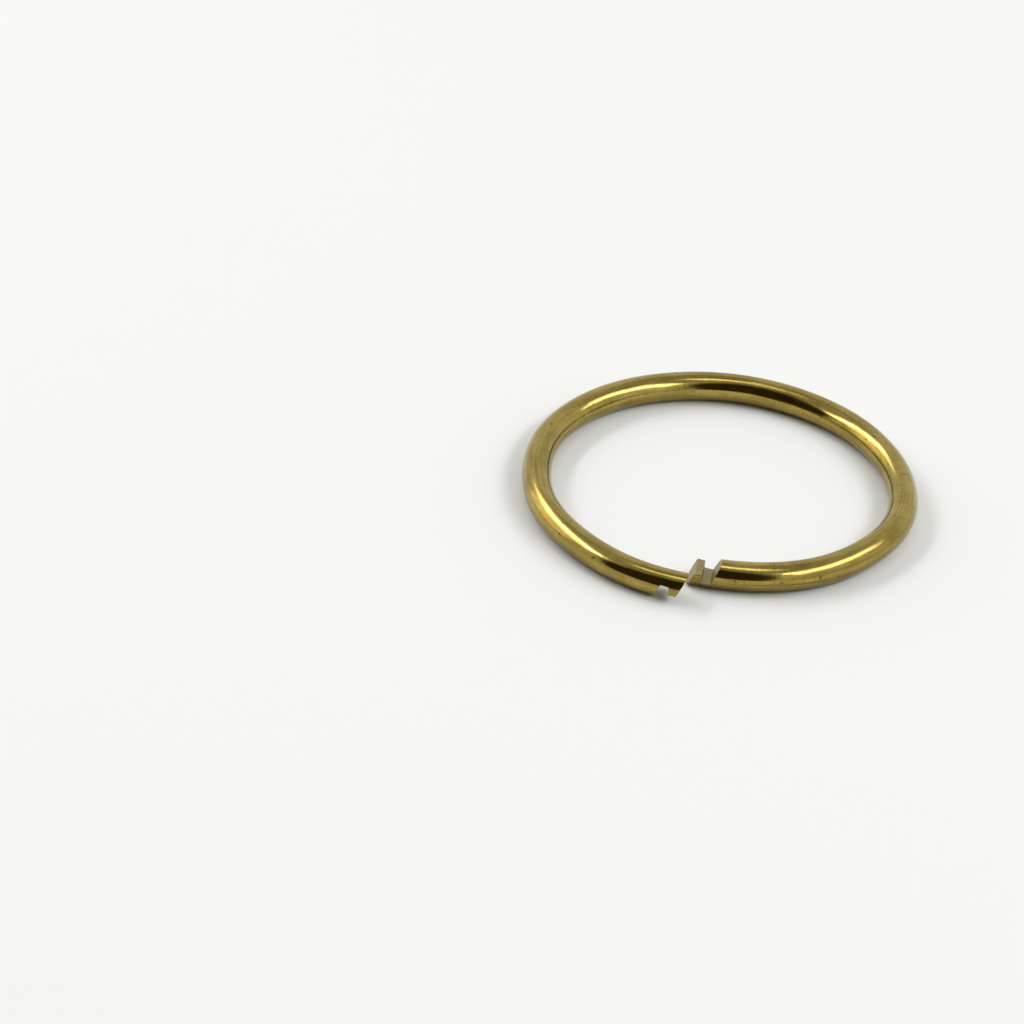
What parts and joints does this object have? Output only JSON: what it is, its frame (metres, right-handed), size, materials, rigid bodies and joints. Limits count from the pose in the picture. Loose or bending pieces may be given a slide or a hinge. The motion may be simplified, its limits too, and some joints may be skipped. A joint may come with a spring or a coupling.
{
  "type": "hooked spring key ring",
  "caption": "One-piece round brass rod ring whose two cut ends spring apart to take keys and hook into each other to close.",
  "frame": {"origin": "centre of the hooked ring's eye, on the rod's mid-plane", "axes": "+Z along the eye, square to the ring; -Y towards the hooked ends; +X to the right of them"},
  "size_m": [0.0654, 0.0669, 0.0048],
  "materials": {
    "polished_brass": "polished rod with fine lengthwise draw lines; the sawn hook faces are matte"
  },
  "bodies": {
    "back": {"back_section": "polished_brass"},
    "right_rear": {"right_rear_section": "polished_brass"},
    "right_side": {"right_side_section": "polished_brass"},
    "right_front": {"right_front_section": "polished_brass"},
    "right_hook_arm": {"right_hook_arm": "polished_brass"},
    "left_rear": {"left_rear_section": "polished_brass"},
    "left_side": {"left_side_section": "polished_brass"},
    "left_front": {"left_front_section": "polished_brass"},
    "left_hook_arm": {"left_hook_arm": "polished_brass"}
  },
  "joints": [
    {"name": "squeeze_right_back", "type": "hinge", "parent": "back", "child": "right_rear", "pos_m": [0.0124, 0.0266, 0], "axis": [0, 0, -1], "range_deg": [-1, 1.25], "stiffness_Nm_per_rad": 0.5},
    {"name": "squeeze_right_rear", "type": "hinge", "parent": "right_rear", "child": "right_side", "pos_m": [0.02567, 0.01496, 0], "axis": [0, 0, -1], "range_deg": [-1, 1.25], "stiffness_Nm_per_rad": 0.5},
    {"name": "line_up_right_side", "type": "hinge", "parent": "right_side", "child": "right_front", "pos_m": [0.03002, -0.00464, 0], "axis": [0, 0, 1], "range_deg": [0, 3.3], "stiffness_Nm_per_rad": 0.5},
    {"name": "line_up_right_front", "type": "hinge", "parent": "right_front", "child": "right_hook_arm", "pos_m": [0.01769, -0.02341, 0], "axis": [0, 0, 1], "range_deg": [0, 3.3], "stiffness_Nm_per_rad": 0.5},
    {"name": "squeeze_left_back", "type": "hinge", "parent": "back", "child": "left_rear", "pos_m": [-0.0124, 0.0266, 0], "axis": [0, 0, 1], "range_deg": [-1, 1.25], "stiffness_Nm_per_rad": 0.5},
    {"name": "squeeze_left_rear", "type": "hinge", "parent": "left_rear", "child": "left_side", "pos_m": [-0.02567, 0.01496, 0], "axis": [0, 0, 1], "range_deg": [-1, 1.25], "stiffness_Nm_per_rad": 0.5},
    {"name": "line_up_left_side", "type": "hinge", "parent": "left_side", "child": "left_front", "pos_m": [-0.03002, -0.00464, 0], "axis": [0, 0, 1], "range_deg": [0, 3.3], "stiffness_Nm_per_rad": 0.5},
    {"name": "line_up_left_front", "type": "hinge", "parent": "left_front", "child": "left_hook_arm", "pos_m": [-0.01993, -0.02471, 0], "axis": [0, 0, 1], "range_deg": [0, 3.3], "stiffness_Nm_per_rad": 0.5}
  ],
  "couplings": [
    {"joint": "squeeze_right_rear", "follows": "squeeze_right_back", "ratio": 1},
    {"joint": "line_up_right_front", "follows": "line_up_right_side", "ratio": 1},
    {"joint": "squeeze_left_back", "follows": "squeeze_right_back", "ratio": 1},
    {"joint": "squeeze_left_rear", "follows": "squeeze_right_back", "ratio": 1},
    {"joint": "line_up_left_side", "follows": "line_up_right_side", "ratio": 1},
    {"joint": "line_up_left_front", "follows": "line_up_right_side", "ratio": 1}
  ]
}
